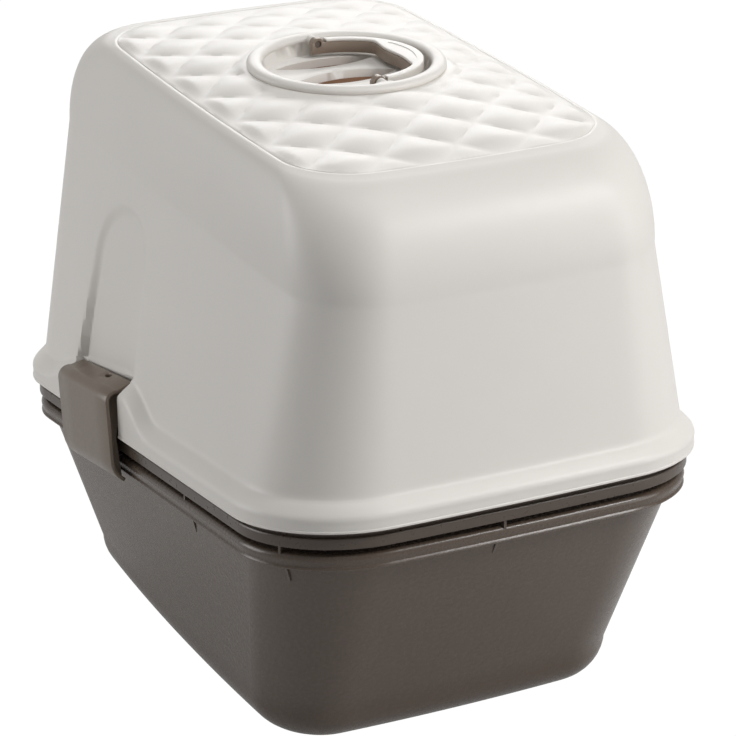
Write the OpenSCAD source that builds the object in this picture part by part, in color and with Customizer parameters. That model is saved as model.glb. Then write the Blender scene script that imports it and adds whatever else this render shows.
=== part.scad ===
// Covered cat litter box: two nested trays, a lift-off hood held by two side clips, a folding
// carrying handle in a round roof well with a carbon filter under it, and a swing flap.
// Frame: origin on the floor under the middle of the base, +Z up, the doorway faces -Y. Millimetres.
// The hood's lower edge falls towards the doorway, and the trays' rims run parallel to it.

/* [Parting line] */
// Height of the hood's lower edge at mid length
rim_z = 179; // [165:1:200]
// Fall of the hood's lower edge and the tray rims towards the doorway, degrees
rim_rake = 7; // [4:0.5:9]
// Overall width over the hood's rim
rim_w = 362; // [350:1:380]
// Overall length over the hood's rim
rim_l = 555; // [540:1:580]
// Corner radius of the hood's rim in plan
rim_r = 84; // [70:1:95]

/* [Hood] */
// Height of the crease that frames the roof panel
roof_z = 440; // [425:1:470]
// Width of the roof panel at its crease
roof_w = 252; // [240:1:262]
// Length of the roof panel at its crease
roof_l = 399; // [385:1:410]
// Corner radius of the roof panel
roof_r = 50; // [40:1:60]
// Rise of the domed roof panel in its middle
dome_h = 14; // [8:1:18]
// Diagonal of one quilted pad
pad_pitch = 58; // [50:1:66]
// Height of a quilted pad over its valleys
pad_h = 3.2; // [1.5:0.1:4]
// Height of the bead along the roof crease
bead_h = 1.6; // [0.8:0.1:2.5]
// Depth of the shoulder below the crease
shoulder_h = 74; // [60:1:85]
// Reach of the shoulder over the long sides
shoulder_side = 18; // [14:1:24]
// Reach of the shoulder over the ends
shoulder_end = 54; // [46:1:58]
// Height of the rim's upright face
face_h = 12.5; // [10:0.5:16]
// Width of the rim's sloped top band
band_w = 11; // [9:0.5:13]
// Height of the rim's sloped top band
band_h = 10; // [7:0.5:13]
// Wall thickness of the hood
hood_t = 2.5; // [2:0.1:3]
// Thickness of the rim's upright face
face_t = 4.5; // [4:0.1:5]
// Rise of the rim beside each clip
rise_h = 23; // [16:1:28]
// Length over which that rise fades out
rise_run = 46; // [36:1:60]

/* [Clips] */
// Middle of the clips along the length
clip_y = -74; // [-84:1:-60]
// Width of a clip
clip_w = 104; // [96:1:110]
// Gap between a clip and each end of its pocket
clip_gap = 6.5; // [5:0.5:8]
// Depth of a clip from its hinge side to its outer face
clip_d = 23; // [21:0.5:25]
// Height of a clip
clip_h = 72; // [66:1:78]
// Skin thickness of a clip
clip_t = 3; // [2.5:0.1:3.5]
// Tilt of the clip along the length, degrees
clip_rake = 9.5; // [6:0.5:12]
// Radius of the clip's hinge rod
clip_pin_r = 2.2; // [1.8:0.1:2.6]
// Height of the flat arched recess over each clip
arch_h = 142; // [120:1:150]

/* [Roof well] */
// Outer radius of the raised ring
ring_r = 72; // [70:1:76]
// Width of the raised ring
ring_w = 10; // [9:0.5:12]
// Height of the raised ring over the roof
ring_h = 8; // [6:0.5:10]
// Depth of the well's floor under the roof
well_d = 9; // [6:0.5:14]
// Wall thickness of the well
well_t = 2.6; // [2:0.1:3]
// Length of the pointed oval slots in the well's floor
slot_l = 68; // [60:1:76]
// Width of the middle slot
slot_w = 28; // [22:1:30]
// Distance between the slots
slot_pitch = 37; // [34:1:38]
// Depth of the slots' walls
slot_d = 12; // [8:1:16]
// Thickness of the carbon filter pad
filter_t = 8; // [5:0.5:10]

/* [Handle] */
// Outer radius of the half round handle
handle_r = 55; // [52:0.5:56]
// Width of the handle's arms
handle_w = 9.5; // [8:0.5:12]
// Distance of the grip's straight inner edge from the pivot line
grip_x = 28; // [24:1:34]
// Height of the handle's section with its top plate
handle_h = 11; // [9:0.5:12]
// Thickness of the plate on the handle's top
cap_t = 2.2; // [1.6:0.1:3]
// Radius of the handle's pivot pins
handle_pin_r = 2.5; // [2:0.1:3]

/* [Trays] */
// Half width step of the lower tray's rim inside the hood's rim
tray_inset = 7.5; // [6:0.5:10]
// Height of the lower tray's rolled rim
roll_h = 11.5; // [9:0.5:13]
// Gap between the two tray rims
rim_gap = 5; // [4:0.5:6]
// Height of the upper tray's rim face
lip_h = 8.5; // [7:0.5:10]
// Half width step of the upper tray's rim inside the hood's rim
lip_inset = 5; // [4.6:0.2:6]
// Height of the groove between the hood and the upper tray's rim
neck_h = 5; // [4:0.5:6]
// Width of the base where its bottom rounding starts
base_w = 300; // [285:1:310]
// Length of the base where its bottom rounding starts
base_l = 397; // [380:1:410]
// Corner radius of the base in plan
base_r = 52; // [44:1:60]
// Radius of the rounding under the base
base_fillet = 30; // [22:1:36]
// Wall thickness of both trays
tray_t = 2.8; // [2.2:0.1:3.4]
// Height of the upper tray's perforated floor
sieve_z = 66; // [55:1:80]
// Width of a sieve slot
hole_w = 9; // [7:0.5:11]
// Length of a sieve slot
hole_l = 26; // [20:1:30]

/* [Entrance] */
// Width of the doorway
door_w = 196; // [180:1:206]
// Height of the doorway
door_h = 170; // [150:1:176]
// Height of the door sill over the hood's lower edge at the front wall
sill_h = 46; // [40:1:52]
// Corner radius at the top of the doorway
door_r = 64; // [55:1:80]
// Thickness of the swing flap
flap_t = 2.4; // [2:0.1:3]
// Clearance round the swing flap
flap_gap = 2.2; // [1.5:0.1:3]

/* [Hidden] */
$fn = 48;
// Rest clearance between faces that carry each other
seat = 0.3;
// Running clearance on a radius
run = 0.05;
// Half sizes used by the outlines
rim_a = rim_w / 2;
rim_b = rim_l / 2;
roof_a = roof_w / 2;
roof_b = roof_l / 2;
slope = tan(rim_rake);
pocket = clip_w / 2 + clip_gap;
// Height of the hood's lower edge at a place along the length
function edge_z(y) = rim_z + slope * y;
function mix(a, b, t) = a + (b - a) * t;
function clamp(t) = min(1, max(0, t));
function ease(t) = let (c = clamp(t)) c * c * (3 - 2 * c);

// Outlines. Every ring has the same points: four corners, the ends, and fixed stations along the sides,
// so that the pockets and recesses over the clips have crisp edges.
corner_n = 5;
end_n = 6;
station = [for (s = [-pocket - 26, -pocket - hood_t, -pocket, -pocket + hood_t, -pocket * 0.6,
    -pocket * 0.2, pocket * 0.2, pocket * 0.6, pocket - hood_t, pocket, pocket + hood_t, pocket + 20,
    pocket + 45, pocket + 75, pocket + 105, pocket + 135]) clip_y + s];
station_n = len(station);
function corner(cx, cy, r, from) =
    [for (i = [0:corner_n]) [cx + r * cos(from + 90 * i / corner_n), cy + r * sin(from + 90 * i / corner_n)]];
function end_pts(a, b, r, s) =
    [for (i = [1:end_n - 1]) [s * (a - r) * (1 - 2 * i / end_n), s * b]];
// Stations shrink towards the middle only where the straight side is shorter than their reach
function station_y(k, b, r) = max(-(b - r) + 1 + k * 0.5, min(b - r - 1 - (station_n - k) * 0.5, station[k]));
function outline(a, b, r, bow_a = 0, bow_b = 0) = let (pts = concat(
        corner(a - r, b - r, r, 0), end_pts(a, b, r, 1),
        corner(-(a - r), b - r, r, 90),
        [for (k = [station_n - 1:-1:0]) [-a, station_y(k, b, r)]],
        corner(-(a - r), -(b - r), r, 180), end_pts(a, b, r, -1),
        corner(a - r, -(b - r), r, 270),
        [for (k = [0:station_n - 1]) [a, station_y(k, b, r)]]))
    [for (p = pts) [p[0] * (1 - bow_a * pow(p[1] / b, 2)), p[1] * (1 - bow_b * pow(p[0] / a, 2))]];
function flat_ring(pts, z) = [for (p = pts) [p[0], p[1], z]];
function raked_ring(pts, dz) = [for (p = pts) [p[0], p[1], edge_z(p[1]) + dz]];

// Lofts a skin through rings of equal length, with end caps or closed on itself
module loft(rings, closed = false) {
    n = len(rings[0]);
    m = len(rings);
    pts = [for (r = rings) each r];
    spans = closed ? m : m - 1;
    sides = [for (j = [0:spans - 1]) for (i = [0:n - 1])
        let (a = j * n + i, b = j * n + (i + 1) % n, c = ((j + 1) % m) * n + i, d = ((j + 1) % m) * n + (i + 1) % n)
        each (closed ? [[a, b, c], [b, d, c]] : [[a, c, b], [b, c, d]])];
    caps = closed ? [] : [[for (i = [0:n - 1]) i], [for (i = [n - 1:-1:0]) (m - 1) * n + i]];
    polyhedron(points = pts, faces = concat(sides, caps), convexity = 8);
}

// Hood sections, from the rim upwards
foot_a = rim_a - band_w;
foot_b = rim_b - band_w;
foot_r = rim_r - band_w;
side_a = roof_a + shoulder_side;
side_b = roof_b + shoulder_end;
// How much the rim rises beside the clips, 0 to 1 along the length
function rise(y) = ease(1 - (abs(y - clip_y) - pocket - hood_t) / rise_run);
// Inside the clip's pocket, with the pocket's end walls kept outside
function in_pocket(y, grow) = abs(y - clip_y) < pocket + grow + 0.01;
pocket_a = rim_a - 12.5;
pocket_top_a = rim_a - 17.5;
pocket_step = 9;
// Depth of the arched recess at a height over the rim, fading out upwards
function arch_in(y, h) = let (top = arch_h + rise_h, w = pocket - 8 * clamp(h / top))
    abs(y - clip_y) < w ? 5 * clamp((top - h) / 60) : 0;
function sgn(x) = x < 0 ? -1 : 1;
// One hood ring. The points of the long sides are pulled in for the pocket and for the arched recess.
function hood_ring(pts, dz, rise_k, pull, grow, pocket_dz = undef) = [for (p = pts)
    let (side = abs(p[0]) > rim_a - rim_r, hit = side && in_pocket(p[1], grow))
    [hit ? sgn(p[0]) * min(abs(p[0]), pull) : p[0], p[1],
    edge_z(p[1]) + (hit && pocket_dz != undef ? pocket_dz : dz) + rise_k * rise_h * rise(p[1])]];
// A wall ring at a share of the way from the foot to the shoulder, with the recess
function wall_ring(t, off) = let (lo = outline(foot_a - off, foot_b - off, foot_r - off, 0, 0.02),
        hi = outline(side_a - off, side_b - off, roof_r + 5 - off, 0.02, 0.02))
    [for (i = [0:len(lo) - 1]) let (z0 = edge_z(lo[i][1]) + face_h + band_h + rise_h * rise(lo[i][1]),
        z1 = roof_z - shoulder_h, x = mix(lo[i][0], hi[i][0], t), z = mix(z0, z1, t),
        d = abs(x) > side_a - roof_r ? arch_in(lo[i][1], z - edge_z(lo[i][1])) : 0)
        [x - sgn(x) * d, mix(lo[i][1], hi[i][1], t), z]];
// Shoulder ring at an angle, from 0 at the crease to 90 at the wall
function shoulder_ring(ang, off) = outline(roof_a + (shoulder_side - off) * sin(ang) , roof_b + (shoulder_end - off) * sin(ang),
    roof_r + (5 - off) * sin(ang), mix(0.04, 0.02, sin(ang)), mix(0.03, 0.02, sin(ang)));
function shoulder_z(ang) = roof_z - shoulder_h * (1 - cos(ang));

// Roof panel: domed, quilted with diagonal valleys, and level round the well
well_r = ring_r - ring_w + 3.5;
function dome(x, y) = dome_h * clamp(1 - pow(x / roof_a, 2)) * clamp(1 - pow(y / roof_b, 2));
function quilt(x, y) = pad_h * abs(sin(180 * (x + y) / pad_pitch) * sin(180 * (x - y) / pad_pitch));
function roof_at(x, y) = let (r = norm([x, y]), k = ease((r - ring_r - 1) / 10))
    roof_z + mix(dome_h * 0.86, dome(x, y) + quilt(x, y), k);
seat_z = roof_z + dome_h * 0.86;
crease = outline(roof_a, roof_b, roof_r, 0.04, 0.03);
hole_r = well_r - 0.5 + 1.8;
// Rings from the crease inwards to the level seat of the well's ring
function round_ring(r) = [for (p = crease) p * r / norm(p)];
function roof_ring(t, drop) = let (inner = round_ring(ring_r + 1.5))
    [for (i = [0:len(crease) - 1]) let (p = mix(crease[i], inner[i], t)) [p[0], p[1], roof_at(p[0], p[1]) - drop]];
roof_steps = [1, 0.87, 0.74, 0.6, 0.46, 0.32, 0.18];

module hood_skin() {
    bead = outline(roof_a - 1.5, roof_b - 1.5, roof_r - 1.5, 0.04, 0.03);
    bead_in = outline(roof_a - 3, roof_b - 3, roof_r - 3, 0.04, 0.03);
    rim = outline(rim_a, rim_b, rim_r, 0, 0.02);
    rim_in = outline(rim_a - face_t, rim_b - face_t, rim_r - face_t, 0, 0.02);
    foot = outline(foot_a, foot_b, foot_r, 0, 0.02);
    loft([
        flat_ring(round_ring(hole_r), seat_z),
        for (t = roof_steps) roof_ring(t, 0),
        flat_ring(bead_in, roof_z),
        flat_ring(bead, roof_z + bead_h),
        flat_ring(crease, roof_z),
        for (a = [22, 45, 68]) flat_ring(shoulder_ring(a, 0), shoulder_z(a)),
        wall_ring(1, 0), wall_ring(0.75, 0), wall_ring(0.5, 0), wall_ring(0.25, 0),
        hood_ring(foot, face_h + band_h, 1, pocket_top_a, 0),
        hood_ring(rim, face_h, 1, pocket_top_a, 0),
        hood_ring(rim, face_h * 0.7, 0, pocket_top_a, 0, pocket_step + 9),
        hood_ring(rim, face_h * 0.4, 0, pocket_a, 0, pocket_step),
        hood_ring(rim, 0, 0, pocket_a, 0),
        hood_ring(rim_in, 0, 0, pocket_a - 2, hood_t),
        hood_ring(rim_in, face_h * 0.3, 0, pocket_a - 2, hood_t, pocket_step - 1),
        hood_ring(rim_in, face_h * 0.6, 0, pocket_top_a - hood_t, hood_t, pocket_step + 8),
        hood_ring(rim_in, face_h - 2, 1, pocket_top_a - hood_t, hood_t),
        hood_ring(outline(foot_a - hood_t, foot_b - hood_t, foot_r - hood_t, 0, 0.02), face_h + band_h - 1, 1,
            pocket_top_a - hood_t, hood_t),
        wall_ring(0.25, hood_t), wall_ring(0.5, hood_t), wall_ring(0.75, hood_t), wall_ring(1, hood_t),
        for (a = [60, 30]) flat_ring(shoulder_ring(a, hood_t), shoulder_z(a) - hood_t * cos(a)),
        roof_ring(0.1, hood_t + pad_h), roof_ring(0.5, hood_t + pad_h), roof_ring(1, hood_t), flat_ring(round_ring(hole_r), seat_z - hood_t)
    ], closed = true);
}

// Pocket hardware: each clip turns on a rod held in the pocket's end walls
clip_top = 36;
axis_a = pocket_top_a + 7;
axis_dz = clip_top - 5;
module at_clip(side) {
    mirror([side < 0 ? 1 : 0, 0, 0]) translate([axis_a, clip_y, edge_z(clip_y) + axis_dz]) rotate([clip_rake, 0, 0]) children();
}
module rod(r, len) {
    rotate([90, 0, 0]) cylinder(r = r, h = len, center = true);
}

// Doorway in the front wall: an arched opening with an inward frame that carries the flap's pins.
// Both lean with the wall, and the flap hangs straight down from the top of the frame.
foot_z = edge_z(-foot_b) + face_h + band_h;
front_lean = atan((foot_b - side_b) / (roof_z - shoulder_h - foot_z));
sill_z = edge_z(-foot_b) + sill_h;
sill_y = -foot_b + (sill_z - foot_z) * tan(front_lean);
frame_d = 24;
flap_in = 10;
flap_drop = 9;
flap_y = sill_y + flap_in * cos(front_lean) + (door_h - flap_drop) * sin(front_lean);
flap_z = sill_z - flap_in * sin(front_lean) + (door_h - flap_drop) * cos(front_lean);
flap_pin_r = 2.5;
module door_shape(grow) {
    translate([-(door_w / 2 + grow), -grow]) square([door_w + 2 * grow, door_h - door_r + grow]);
    intersection() {
        translate([-(door_w / 2 + grow), 0]) square([door_w + 2 * grow, door_h + grow]);
        for (x = [-1, 1]) translate([x * (door_w / 2 - door_r), door_h - door_r]) circle(r = door_r + grow, $fn = 72);
    }
    translate([-(door_w / 2 - door_r), 0]) square([door_w - 2 * door_r, door_h + grow]);
}
// Draws upright in the plane of the hanging flap, from the flap's lower edge
module upright(t) {
    translate([0, flap_y + t / 2, sill_z + flap_gap]) rotate([90, 0, 0]) linear_extrude(height = t) children();
}
module in_wall(from, to) {
    translate([0, sill_y, sill_z]) rotate([-front_lean, 0, 0]) translate([0, to, 0]) rotate([90, 0, 0])
        linear_extrude(height = to - from) children();
}
// Half width of the arched doorway at the height of the flap's pins
pin_x = door_w / 2 - door_r + sqrt(pow(door_r, 2) - pow(door_r - flap_drop, 2));
module flap_axle(r, len) {
    translate([0, flap_y, flap_z]) rotate([0, 90, 0]) cylinder(r = r, h = len, center = true);
}
module door_frame() {
    in_wall(2, frame_d) door_shape(hood_t);
    // Bosses for the flap's pins
    flap_axle(flap_pin_r + 2.5, 2 * pin_x + 9);
}

module hood_shell() {
    color("Ivory") difference() {
        union() {
            hood_skin();
            door_frame();
            // Ribs that carry the rod in the end walls of the pockets
            for (s = [-1, 1]) at_clip(s) for (e = [-1, 1]) translate([0, e * (pocket + 2.5), 0]) rod(4.5, 4.6);
        }
        in_wall(-20, frame_d + 6) door_shape(0);
        flap_axle(flap_pin_r + run, 2 * pin_x + 7);
        for (s = [-1, 1]) at_clip(s) rod(clip_pin_r + run, 2 * pocket + 8);
    }
}

// Round insert dropped into the roof: raised ring, shallow floor with three pointed oval slots, pivot bosses
// and a cup for the filter
floor_z = seat_z - well_d;
cup_r = well_r - 0.5;
cup_in = cup_r - well_t;
pivot_z = seat_z + 2;
boss_in = handle_r + 1.2;
filter_z = floor_z - slot_d - seat - filter_t;
module ring_profile() {
    translate([ring_r - ring_w / 2, seat_z + seat + ring_h - ring_w / 2]) intersection() {
        circle(r = ring_w / 2);
        translate([-ring_w / 2, 0]) square([ring_w, ring_w / 2]);
    }
    translate([ring_r - ring_w, seat_z + seat]) square([ring_w, ring_h - ring_w / 2]);
}
// Pointed oval from two arcs
module oval(l, w) {
    r = (l * l + w * w) / (4 * w);
    intersection_for (s = [-1, 1]) translate([0, s * (r - w / 2)]) circle(r = r, $fn = 120);
}
module slots(grow, z, h) {
    for (k = [-1:1]) translate([0, k * slot_pitch, z]) linear_extrude(height = h)
        oval(slot_l + 2.4 * grow, (k == 0 ? slot_w : slot_w * 0.72) + 2 * grow);
}
module handle_well() {
    color("Ivory") difference() {
        union() {
            rotate_extrude($fn = 96) ring_profile();
            rotate_extrude($fn = 96) translate([cup_in, filter_z]) square([well_t, seat_z + ring_h / 2 - filter_z]);
            translate([0, 0, floor_z - well_t]) cylinder(r = cup_in + 0.5, h = well_t, $fn = 96);
            slots(1.8, floor_z - slot_d, slot_d - 0.5);
            // Bosses for the handle's pins
            for (s = [-1, 1]) translate([0, s * (boss_in + cup_in + 1) / 2, pivot_z]) rod(handle_h / 2, cup_in + 1 - boss_in);
            // Snap lugs under the roof
            for (a = [45:90:315]) rotate([0, 0, a - 6]) rotate_extrude(angle = 12) translate([cup_r - 1, seat_z - hood_t - seat])
                polygon([[0, 0], [3.4, 0], [3.4, -1.5], [0, -6]]);
        }
        slots(0, floor_z - slot_d - 1, slot_d + 2);
        translate([0, 0, pivot_z]) rod(handle_pin_r + run, 2 * (cup_r + 2.2));
    }
}

// Half round handle, folded to the -X side: slim arms, a broad grip with a straight inner edge and an eye at each end
eye_l = 12;
grip_r = 9;
module handle_plan(inset) {
    difference() {
        intersection() {
            circle(r = handle_r - inset, $fn = 96);
            translate([-handle_r, -handle_r]) square([handle_r, 2 * handle_r]);
        }
        hand_space(handle_r - handle_w + inset, inset - grip_x);
    }
}
// Space inside the handle, rounded where the arms meet the grip
module hand_space(r, x) {
    cx = x + grip_r;
    cy = sqrt(pow(r - grip_r, 2) - cx * cx);
    k = (r + 2) / (r - grip_r);
    difference() {
        intersection() {
            circle(r = r, $fn = 96);
            translate([x, -r]) square([2 * r, 2 * r]);
        }
        for (s = [-1, 1]) difference() {
            polygon([[cx, s * cy], [x - 1, s * cy], [x - 1, s * (r + 2)], [cx * k, s * cy * k]]);
            translate([cx, s * cy]) circle(r = grip_r);
        }
    }
}
module eyes(r, l) {
    for (s = [-1, 1]) translate([0, s * (handle_r - l / 2), pivot_z]) rod(r, l);
}
cap_z = pivot_z + handle_h / 2 - cap_t;
module carry_handle() {
    color("RosyBrown") difference() {
        union() {
            translate([0, 0, cap_z - handle_h + cap_t]) linear_extrude(height = handle_h - cap_t) handle_plan(0);
            eyes(handle_h / 2, eye_l);
        }
        // Chamfer round the lower outer edge
        translate([0, 0, pivot_z - handle_h / 2]) rotate_extrude($fn = 96) polygon([[handle_r - 1.6, 0], [handle_r + 1, -1], [handle_r + 1, 2.6]]);
        translate([0, 0, pivot_z]) rod(handle_pin_r + run, 2 * handle_r + 10);
    }
}
// Pale plate snapped on the handle's top; its oval field stays bare
module handle_cap() {
    color("Ivory") difference() {
        translate([0, 0, cap_z]) linear_extrude(height = cap_t) handle_plan(0.4);
        eyes(handle_h / 2 + seat, eye_l + seat);
        // Shallow oval field on the grip
        translate([-handle_r + 12.5, 0, cap_z + cap_t - 0.5]) linear_extrude(height = 1) oval(16, 8.5);
    }
}
module handle_pins() {
    pin_from = handle_r - eye_l + 0.5;
    pin_to = cup_r + 2;
    color("Silver") for (s = [-1, 1]) translate([0, s * (pin_from + pin_to) / 2, pivot_z]) rod(handle_pin_r, pin_to - pin_from);
}

module vent_filter() {
    color("DimGray") translate([0, 0, filter_z + 0.1]) cylinder(r = cup_in - 0.4, h = filter_t - 0.1);
}
// Open holder that keeps the filter in from below
cover_t = 2.4;
hub_r = 14;
module filter_cover() {
    color("Ivory") difference() {
        union() {
            translate([0, 0, filter_z - seat - cover_t]) cylinder(r = cup_r + seat + well_t, h = cover_t);
            rotate_extrude() translate([cup_r + seat, filter_z - seat - cover_t]) square([well_t, cover_t + 7]);
        }
        for (a = [0:45:315]) rotate([0, 0, a]) rotate_extrude(angle = 33) translate([hub_r, filter_z - seat - cover_t - 1]) square([cup_in - 8 - hub_r, cover_t + 2]);
    }
}

// Clip: a bent skin on two inner webs that turns on its rod; its lower edge curls in under the rims
clip_out = pocket_top_a + clip_d + 2.5 - axis_a;
clip_roof = 5;
hinge_back = 4.2;
clip_curl = 80;
function clip_curve(off) = let (r1 = 9 - off, r2 = 20 - off, x = clip_out - off) concat(
    [for (a = [0:15:90]) [x - r1 + r1 * sin(a), clip_roof - off - r1 + r1 * cos(a)]],
    [for (a = [0:16:clip_curl]) [x - r2 + r2 * cos(a), clip_roof - clip_h + 17 - r2 * sin(a)]]);
module clip_body() {
    out = clip_curve(0);
    inn = clip_curve(clip_t);
    n = len(out);
    // Outer skin
    rotate([90, 0, 0]) linear_extrude(height = clip_w, center = true)
        polygon(concat([[-hinge_back, clip_roof]], out, [for (i = [len(inn) - 1:-1:0]) inn[i]], [[-hinge_back, clip_roof - clip_t]]));
    // Webs set in from the open ends
    for (s = [-1, 1]) translate([0, s * (clip_w / 2 - 12), 0]) rotate([90, 0, 0]) linear_extrude(height = 2.5, center = true)
        polygon(concat([[-hinge_back, clip_roof]], out, [inn[n - 1], [clip_out - 9, -34], [5, -14], [1, -4.4], [-2.5, -4]]));
    // Knuckles on the rod
    for (y = [-clip_w / 2 + 5, -clip_w / 6, clip_w / 6, clip_w / 2 - 5]) translate([0, y, 0]) rotate([90, 0, 0]) linear_extrude(height = 7, center = true)
        union() {
            circle(r = clip_pin_r + 2.4);
            translate([-hinge_back, 0]) square([hinge_back + 4.4, clip_roof]);
        }
}
module side_clip(side) {
    color("RosyBrown") at_clip(side) difference() {
        clip_body();
        rod(clip_pin_r + run, clip_w + 4);
        // Small round gate hole in the top plate
        translate([11, 34, 0]) cylinder(r = 1.8, h = 12);
    }
}
module side_clip_right() {
    side_clip(1);
}
module side_clip_left() {
    side_clip(-1);
}
module clip_pin_right() {
    color("Silver") at_clip(1) rod(clip_pin_r, 2 * pocket + 7.6);
}
module clip_pin_left() {
    color("Silver") at_clip(-1) rod(clip_pin_r, 2 * pocket + 7.6);
}

// Swing flap with its two stub pins
module entrance_flap() {
    w = door_w - 2 * flap_gap;
    h = flap_z - sill_z - flap_gap;
    c = door_r + flap_gap + 6;
    color("Tan") union() {
        upright(flap_t) difference() {
            translate([-w / 2, 0]) square([w, h + 3]);
            // Rounded upper corners that follow the doorway
            for (x = [-1, 1]) difference() {
                translate([x * w / 2 - (x > 0 ? c : 0), h + 3 - c]) square([c, c + 1]);
                translate([x * (w / 2 - c), h + 3 - c]) circle(r = c);
            }
        }
        // Rolled lower edge and hinge tube
        upright(flap_t + 2.4) translate([-w / 2 + 8, 0]) square([w - 16, 8]);
        flap_axle(3.4, 2 * pin_x - 24);
        flap_axle(flap_pin_r, 2 * pin_x + 6);
    }
}

// Trays. Both share the lower tray's wall lines, so one nests in the other at a named gap.
low_a = rim_a - tray_inset;
low_b = rim_b - tray_inset - 1;
low_r = rim_r - tray_inset;
roll_w = 6.4;
roll_end = 2.6;
skin_t = 2.4;
nest = 2.2;
lip_t = 2.5;
flange_t = 2.6;
// Heights under the hood's lower edge
up_face = seat;
up_top = up_face + neck_h;
up_under = up_top + lip_h;
low_top = up_under + rim_gap;
low_under = low_top + roll_h;
wall_off = tray_t + nest;
notch_a = pocket_a - 1.2;
// Pulls a rim's long side in behind each clip
function notched(pts, to) = [for (p = pts) [abs(p[0]) > low_a - low_r && abs(p[1] - clip_y) < pocket + 0.6 ?
    sgn(p[0]) * min(abs(p[0]), to) : p[0], p[1]]];
function tray_lo(off) = outline(base_w / 2 - off, base_l / 2 - off, base_r - off, 0.05, 0.025);
function tray_hi(off) = outline(low_a - roll_w - off, low_b - roll_w - roll_end - off, low_r - roll_w - off, 0, 0.02);
function tray_wall(off, z) = let (lo = tray_lo(off), hi = tray_hi(off))
    [for (i = [0:len(lo) - 1]) let (zt = edge_z(hi[i][1]) - low_under, t = (z - base_fillet) / (zt - base_fillet))
        [mix(lo[i][0], hi[i][0], t), mix(lo[i][1], hi[i][1], t), z]];
function tray_top(off, dz) = [for (p = notched(tray_hi(off), notch_a - 2.6 - off * 0.6)) [p[0], p[1], edge_z(p[1]) + dz]];
function rim_ring(a, b, r, dz, inner) = [for (p = notched(outline(a, b, r, 0, 0.02), notch_a - inner)) [p[0], p[1], edge_z(p[1]) + dz]];
function low_rim(off, dz) = rim_ring(low_a - off, low_b - off, low_r - off, dz, 0.4 * off);
module outer_tray() {
    f = base_fillet;
    color("RosyBrown") union() {
        loft([
            for (a = [0, 30, 60]) flat_ring(tray_lo(f * (1 - sin(a))), f * (1 - cos(a))),
            flat_ring(tray_lo(0), f),
            tray_top(0, -low_under),
            tray_top(0, -low_top - skin_t),
            low_rim(skin_t, -low_top - skin_t - 1),
            low_rim(skin_t, -low_under),
            low_rim(0.6, -low_under - 0.4),
            low_rim(0, -low_under + 1.2),
            low_rim(0, -low_top - 3),
            low_rim(0.9, -low_top - 0.9),
            low_rim(3, -low_top),
            tray_top(tray_t - 0.6, -low_top),
            tray_top(tray_t, -low_under),
            flat_ring(tray_lo(tray_t), f),
            for (a = [60, 30, 0]) flat_ring(tray_lo(tray_t + (f - tray_t) * (1 - sin(a))), tray_t + (f - tray_t) * (1 - cos(a)))
        ]);
        standoffs();
        difference() {
            gussets();
            loft([flat_ring(tray_lo(tray_t / 2), base_fillet), tray_top(tray_t / 2, -low_under), tray_top(tray_t / 2, 0)]);
        }
    }
}
// Places of the ribs that carry the upper tray: [x, y, direction], at the sides, the corners and the ends
rib_in = 8.6;
rib_turn = 31;
function rib_corner(sx, sy) = let (r = rim_r - rib_in, x = rim_a - rim_r + r * cos(rib_turn), y = rim_b - rim_r + r * sin(rib_turn))
    [sx * x, sy * y * (1 - 0.02 * pow(x / (rim_a - rib_in), 2)), atan2(sy * sin(rib_turn), sx * cos(rib_turn))];
ribs = [for (s = [-1, 1]) each [[s * (rim_a - rib_in), 88, s > 0 ? 0 : 180], [s * (rim_a - rib_in), clip_y - pocket - 26, s > 0 ? 0 : 180],
    rib_corner(s, 1), rib_corner(s, -1), [8, s * (rim_b - rib_in), s * 90]]];
module at_rib(p, dz) {
    translate([p[0], p[1], edge_z(p[1]) + dz]) rotate([rim_rake, 0, 0]) rotate([0, 0, p[2]]) children();
}
module standoffs() {
    for (p = ribs) at_rib(p, -low_top - 2) translate([-1.2, -1, 0]) cube([2.4, 2, 2 + rim_gap - seat]);
}
module gussets() {
    for (p = ribs) at_rib(p, -low_top - 1.5) rotate([90, 0, 0]) linear_extrude(height = 2, center = true)
        polygon([[-20, 0], [-0.6, 0], [-0.6, -roll_h], [-14, -roll_h - 13], [-20, -roll_h - 13]]);
}

function up_ring(off, dz) = rim_ring(rim_a - off, rim_b - off, rim_r - off, dz, 0.4 * max(0, off - lip_inset));
module sieve_tray() {
    f = 12;
    neck_in = lip_inset + 3.2;
    color("Sienna") union() {
        difference() {
            loft([
                tray_wall(wall_off + f, sieve_z),
                tray_wall(wall_off + f * 0.3, sieve_z + f * 0.3),
                tray_wall(wall_off, sieve_z + f),
                tray_top(wall_off, -up_face - flange_t),
                up_ring(neck_in + skin_t, -up_face - flange_t),
                up_ring(neck_in + skin_t, -up_top - skin_t + 0.4),
                up_ring(neck_in, -up_top - skin_t),
                up_ring(neck_in, -up_under),
                up_ring(lip_inset, -up_under),
                up_ring(lip_inset, -up_top - 0.8),
                up_ring(lip_inset + 0.8, -up_top),
                up_ring(neck_in, -up_top),
                up_ring(neck_in, -up_face - 2.2),
                up_ring(3, -up_face - 1.2),
                up_ring(3, -up_face),
                tray_top(wall_off - lip_t, -up_face),
                tray_top(wall_off - lip_t, 7),
                tray_top(wall_off, 7),
                tray_top(wall_off + tray_t, -up_face - 2),
                tray_wall(wall_off + tray_t, sieve_z + f + 1),
                tray_wall(wall_off + tray_t + f * 0.3, sieve_z + tray_t + f * 0.3),
                tray_wall(wall_off + tray_t + f, sieve_z + tray_t)
            ]);
            sieve_holes();
        }
    }
}
hole_x = hole_w + 6;
hole_y = hole_l + 9;
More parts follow.
